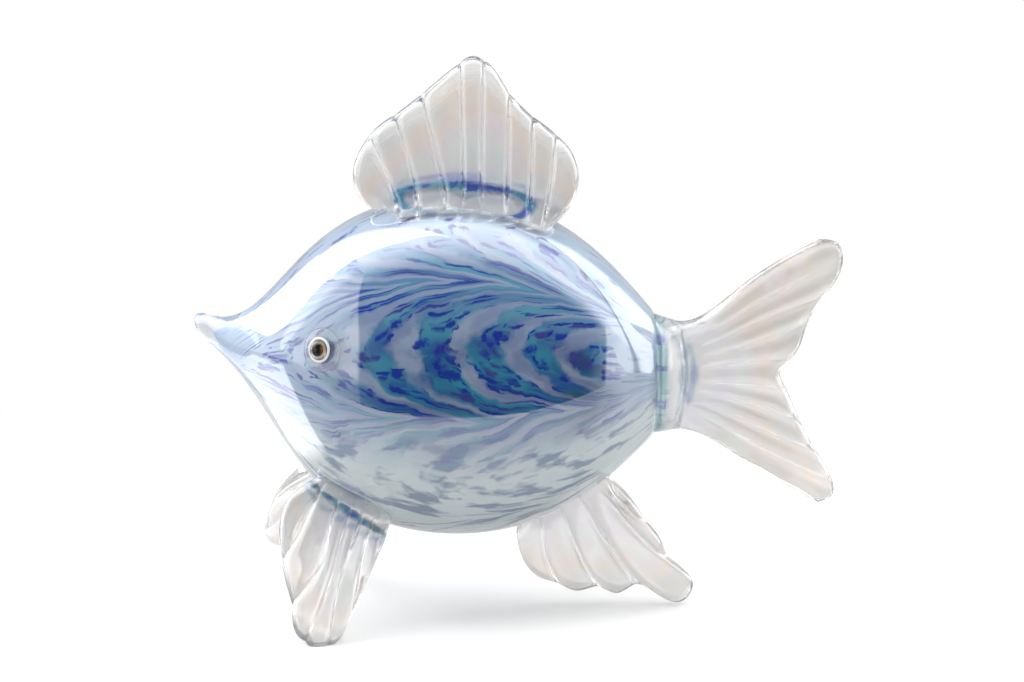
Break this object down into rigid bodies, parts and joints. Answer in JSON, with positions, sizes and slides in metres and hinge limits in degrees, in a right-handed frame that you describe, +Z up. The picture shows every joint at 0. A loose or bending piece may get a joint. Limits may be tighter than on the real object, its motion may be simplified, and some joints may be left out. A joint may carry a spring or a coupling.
{
  "type": "glass fish figurine",
  "caption": "Blown glass fish figurine that stands on its fins: clear casing over a combed blue and turquoise layer, with pearly ribbed fins and raised bead eyes.",
  "frame": {"origin": "floor point under the centre of the bounding box", "axes": "+X from the nose to the tail, +Z up, the fish's left side towards -Y"},
  "size_m": [0.2218, 0.0973, 0.193],
  "materials": {
    "clear_glass": "polished",
    "coloured_glass": "polished, combed blue, turquoise, violet and white",
    "pearl_glass": "polished with a pearly film",
    "white_glass": "polished, opaque",
    "dark_glass": "polished, opaque"
  },
  "bodies": {
    "root": {"clear_casing": "clear_glass", "colour_layer": "coloured_glass", "inner_bubble": "clear_glass", "dorsal_fin": "pearl_glass", "tail_fin": "pearl_glass", "left_pectoral_fin": "pearl_glass", "right_pectoral_fin": "pearl_glass", "anal_fin": "pearl_glass", "left_eye_seat": "clear_glass", "left_eye_white": "white_glass", "left_eye_pupil": "dark_glass", "left_eye_lens": "clear_glass", "right_eye_seat": "clear_glass", "right_eye_white": "white_glass", "right_eye_pupil": "dark_glass", "right_eye_lens": "clear_glass"}
  },
  "joints": []
}
